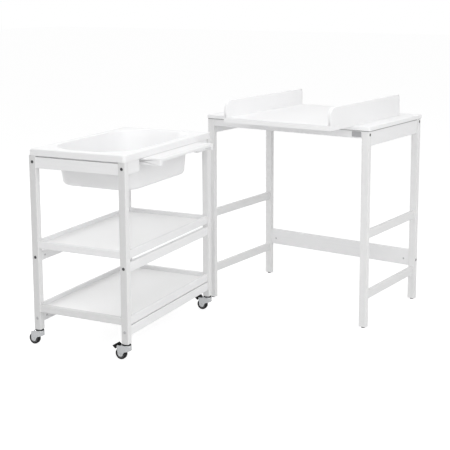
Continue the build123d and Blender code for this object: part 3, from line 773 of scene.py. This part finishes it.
def finish_of(name):
    """Material of a carried-over node, with the grain along its board."""
    if name in FINISHES:
        return FINISHES[name]
    if name.startswith("castor_fork"):
        return zinc
    if name.startswith("castor_wheel"):
        return tread_black
    if name.startswith("brake_pedal"):
        return pedal_black
    if name == "lower_shelf_left_rail":
        return timbers["low_rail"]
    if "leg" in name or "post" in name:
        return timbers["leg" if "leg" in name else "post"]
    if name.endswith("apron") and name.startswith("table"):
        return timbers["apron_y" if "left" in name or "right" in name else "apron_x"]
    if name.startswith("table"):
        return timbers["table_rail" if "left" in name or "right" in name else "table_x"]
    if name.endswith(("left_rail", "right_rail", "end_rail")) or name == "side_shelf_battens":
        return timbers["trolley_wide"]
    return timbers["trolley_long"]


def smooth_group():
    """Geometry nodes that weld a carried-over mesh, keep only its real corners sharp, and mark the corners
    that are to be eased: those above its underside."""
    smooth_below, corner_over, underside = math.radians(28), math.radians(50), 0.0005
    tree = bpy.data.node_groups.new("weld_and_smooth", "GeometryNodeTree")
    tree.interface.new_socket(name="Geometry", in_out="INPUT", socket_type="NodeSocketGeometry")
    tree.interface.new_socket(name="Geometry", in_out="OUTPUT", socket_type="NodeSocketGeometry")
    given = tree.nodes.new("NodeGroupInput").outputs[0]
    put = tree.nodes.new("NodeGroupOutput").inputs[0]

    def compare(value, operation, limit):
        """Whether the value lies on one side of its limit."""
        return add(tree, "FunctionNodeCompare", {0: value, 1: limit}, operation=operation).outputs[0]

    def shade(mesh, smooth, domain):
        """The mesh with its faces or edges set smooth or sharp."""
        values = {"Geometry": mesh, "Shade Smooth": smooth}
        return add(tree, "GeometryNodeSetShadeSmooth", values, domain=domain).outputs[0]

    welding = {"Geometry": given, "Distance": WELD}
    welded = add(tree, "GeometryNodeMergeByDistance", welding).outputs[0]
    angle = add(tree, "GeometryNodeInputMeshEdgeAngle").outputs["Unsigned Angle"]
    smoothed = shade(shade(welded, True, "FACE"), compare(angle, "LESS_THAN", smooth_below), "EDGE")
    lowest = add(tree, "GeometryNodeBoundBox", {"Geometry": welded}).outputs["Min"]
    point = tree.nodes.new("GeometryNodeInputPosition").outputs[0]
    rise = vector_calc(tree, "SUBTRACT", point, lowest).outputs[0]
    height = add(tree, "ShaderNodeSeparateXYZ", {0: rise}).outputs["Z"]
    above = compare(height, "GREATER_THAN", underside)
    corner = compare(angle, "GREATER_THAN", corner_over)
    eased = add(tree, "FunctionNodeBooleanMath", {0: above, 1: corner}, operation="AND").outputs[0]
    mark = {"Geometry": smoothed, "Name": "bevel_weight_edge", "Value": eased}
    marked = add(tree, "GeometryNodeStoreNamedAttribute", mark, data_type="FLOAT", domain="EDGE")
    wire(tree, marked.outputs[0], put)
    return tree


SMOOTH = smooth_group()
# Boards whose sawn corners are eased, with the width of the easing in metres
EASED = {
    "left_guard": 0.0025, "right_guard": 0.0025, "side_shelf_front_bar": 0.0012,
    "side_shelf_battens": 0.0015, "side_shelf_panel": 0.0008, "upper_shelf_panel": 0.0008,
    "lower_shelf_panel": 0.0008,
}
for name, node in nodes.items():
    node.data.materials.clear()
    node.data.materials.append(finish_of(name))
    shading = node.modifiers.new("weld_and_smooth", "NODES")
    shading.node_group = SMOOTH
    if name in EASED:
        easing = node.modifiers.new("eased_corners", "BEVEL")
        easing.width = EASED[name]
        easing.segments = 4
        easing.limit_method = "WEIGHT"
        easing.use_clamp_overlap = False
        shading_by_area = node.modifiers.new("flat_faces_kept_flat", "WEIGHTED_NORMAL")
        shading_by_area.mode = "FACE_AREA"
        shading_by_area.keep_sharp = True

# Camera: its place from the trolley's front left corner, and how it is turned, as fitted to the corners
# that the photograph shows
CAMERA_PLACE = (2.5832, -3.0205, 1.5056)
YAW, PITCH, ROLL = (math.radians(degrees) for degrees in (124.7241, 8.9421, -0.2350))
PICTURE, FOCAL_PIXELS, SHIFT_PIXELS, SENSOR = 450.0, 1001.2, -75.0, 36.0
scene = bpy.context.scene
camera_data = bpy.data.cameras.new("camera")
camera = bpy.data.objects.new("camera", camera_data)
scene.collection.objects.link(camera)
scene.camera = camera
camera_data.sensor_width = SENSOR
camera_data.lens = SENSOR * FOCAL_PIXELS / PICTURE
camera_data.shift_y = SHIFT_PIXELS / PICTURE
camera_data.clip_end = 100.0
ahead = Vector((math.cos(YAW) * math.cos(PITCH), math.sin(YAW) * math.cos(PITCH), -math.sin(PITCH)))
level_right = Vector((math.sin(YAW), -math.cos(YAW), 0.0))
level_up = level_right.cross(ahead)
right = level_right * math.cos(ROLL) + level_up * math.sin(ROLL)
above = level_up * math.cos(ROLL) - level_right * math.sin(ROLL)
turned = Matrix((right, above, -ahead)).transposed().to_4x4()
camera.matrix_world = Matrix.Translation(Vector(TROLLEY_ORIGIN) + Vector(CAMERA_PLACE)) @ turned


def plainly_seen(tree):
    """Mask of the rays that show the background: from the camera, and off or through a surface."""
    path = add(tree, "ShaderNodeLightPath").outputs
    either = calc(tree, "MAXIMUM", path["Is Camera Ray"], path["Is Glossy Ray"])
    return calc(tree, "MAXIMUM", either, path["Is Transmission Ray"])


def lit_and_shown(tree, lighting, shown, output):
    """Joins to the output one shader for the rays that light the object and one for those that show it."""
    values = {0: plainly_seen(tree), 1: lighting.outputs[0], 2: shown.outputs[0]}
    chosen = add(tree, "ShaderNodeMixShader", values)
    wire(tree, chosen.outputs[0], add(tree, output).inputs["Surface"])


# World: it shows white, and lights the object at a plain level
WORLD_LIGHT, WORLD_SHOWN = 0.49, 1.0
scene.view_settings.view_transform = "Standard"
world = bpy.data.worlds.new("studio")
scene.world = world
world.use_nodes = True
sky = world.node_tree
sky.nodes.clear()
around = add(sky, "ShaderNodeBackground", {"Color": grey(1.0), "Strength": WORLD_LIGHT})
white = add(sky, "ShaderNodeBackground", {"Color": grey(1.0), "Strength": WORLD_SHOWN})
lit_and_shown(sky, around, white, "ShaderNodeOutputWorld")

# Lamps: square soft boxes that look at one point
LAMP_SIZE, LAMP_AIM = 2.4, Vector((0.0, 0.0, 0.4))
for name, place, watts in (
    ("key_from_right", (3.6, -1.0, 2.2), 46.0),
    ("front_right", (2.4, -3.6, 2.2), 24.0),
    ("top", (0.2, -0.2, 4.2), 37.0),
    ("top_front", (0.2, -2.8, 3.6), 20.0),
    ("fill_from_left", (-3.9, 0.0, 1.8), 70.0),
):
    light = bpy.data.lights.new(name, "AREA")
    light.energy = watts
    light.size = LAMP_SIZE
    lamp = bpy.data.objects.new(name, light)
    scene.collection.objects.link(lamp)
    lamp.location = place
    lamp.rotation_euler = (LAMP_AIM - Vector(place)).to_track_quat("-Z", "Y").to_euler()

# Floor: it shows nearly white with a faint shadow, and lights the object as plain grey
FLOOR_HALF, FLOOR_GLOW = 30, 0.84
floor_corners = [(x * FLOOR_HALF, y * FLOOR_HALF, 0) for x, y in ((-1, -1), (1, -1), (1, 1), (-1, 1))]
floor_mesh = bpy.data.meshes.new("floor")
floor_mesh.from_pydata(floor_corners, [], [(0, 1, 2, 3)])
floor = bpy.data.objects.new("floor", floor_mesh)
scene.collection.objects.link(floor)
floor_paint = bpy.data.materials.new("floor_paint")
floor_paint.use_nodes = True
ground = floor_paint.node_tree
ground.nodes.clear()
plain = add(ground, "ShaderNodeBsdfDiffuse", {"Color": grey(0.8)})
shade = add(ground, "ShaderNodeBsdfDiffuse", {"Color": grey(0.3)})
glow = add(ground, "ShaderNodeEmission", {"Color": grey(1.0), "Strength": FLOOR_GLOW})
bright = add(ground, "ShaderNodeAddShader", {0: shade.outputs[0], 1: glow.outputs[0]})
lit_and_shown(ground, plain, bright, "ShaderNodeOutputMaterial")
floor_mesh.materials.append(floor_paint)
